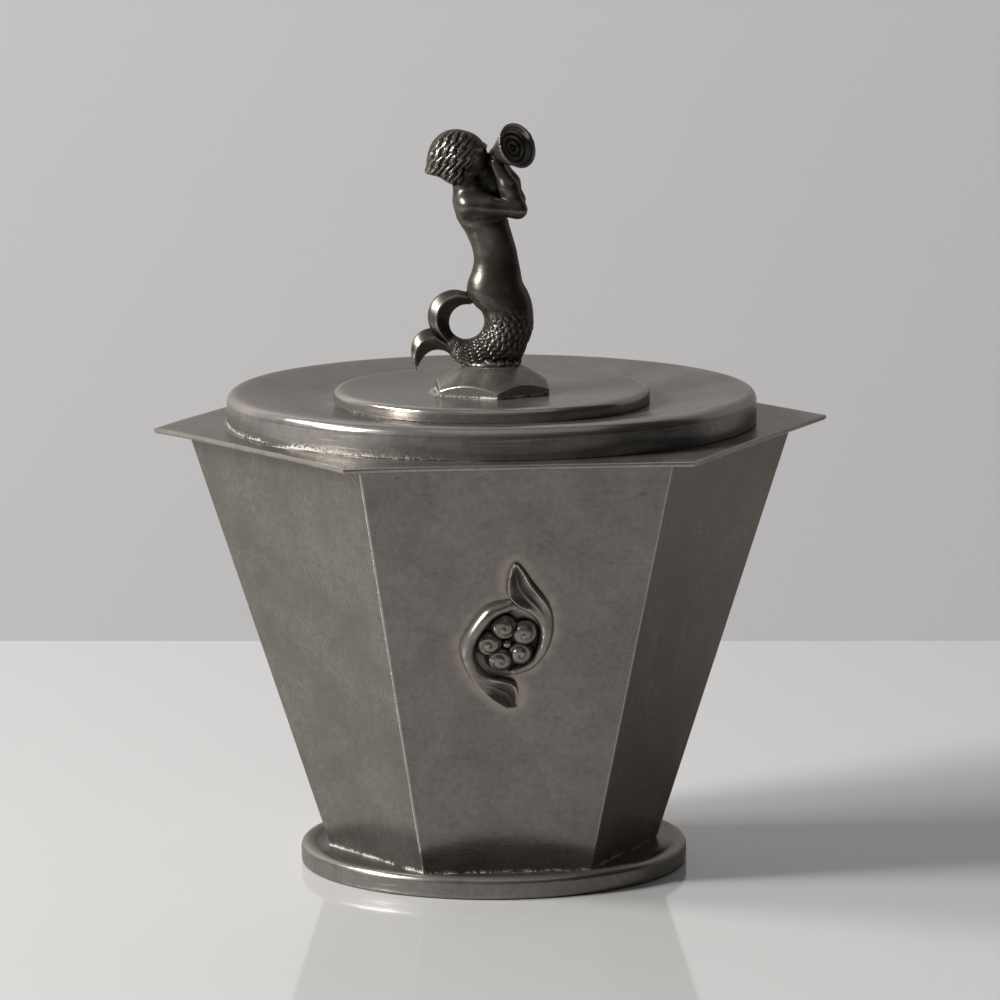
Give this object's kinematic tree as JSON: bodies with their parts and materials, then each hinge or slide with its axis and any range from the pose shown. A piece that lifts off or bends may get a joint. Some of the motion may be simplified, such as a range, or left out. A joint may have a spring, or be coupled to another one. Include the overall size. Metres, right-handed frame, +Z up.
{
  "type": "lidded sugar bowl",
  "caption": "Tapered hexagonal sheet-metal sugar bowl on a round foot, with a pointed rim plate, a stepped round lift-off lid and a cast mermaid finial.",
  "frame": {"origin": "centre of the foot's underside", "axes": "+Z up; -Y towards the front panel with the ornament; +X to the right of it"},
  "size_m": [0.1302, 0.1128, 0.1438],
  "materials": {
    "panel_pewter": "patinated pewter sheet, hand polished, satin",
    "foot_pewter": "patinated pewter, brushed, satin",
    "rim_pewter": "patinated pewter sheet, scratched, satin",
    "ornament_pewter": "cast pewter with dark hollows, glossy where worn",
    "lid_pewter": "patinated pewter sheet, brushed and scratched, satin",
    "pedestal_pewter": "cast pewter, brushed, satin",
    "figure_pewter": "cast pewter, dark patina, glossy where worn",
    "fixing_brass": "dull brass"
  },
  "bodies": {
    "bowl": {"foot_disc": "foot_pewter", "panel_front": "panel_pewter", "panel_front_right": "panel_pewter", "panel_back_right": "panel_pewter", "panel_back": "panel_pewter", "panel_back_left": "panel_pewter", "panel_front_left": "panel_pewter", "rim_plate": "rim_pewter", "ornament": "ornament_pewter"},
    "lid_ring": {"lid_locating_ring": "lid_pewter"},
    "lid": {"lid_lower_cap": "lid_pewter", "lid_upper_cap": "lid_pewter", "finial_pedestal": "pedestal_pewter", "mermaid_figure": "figure_pewter", "finial_stud": "fixing_brass", "finial_washer": "fixing_brass", "finial_nut": "fixing_brass"}
  },
  "joints": [
    {"name": "lid_lift", "type": "slide", "parent": "bowl", "child": "lid_ring", "axis": [0, 0, 1], "range_m": [0, 0.12]},
    {"name": "lid_turn", "type": "hinge", "parent": "lid_ring", "child": "lid", "pos_m": [0, 0, 0.08615], "axis": [0, 0, 1], "continuous": true}
  ]
}
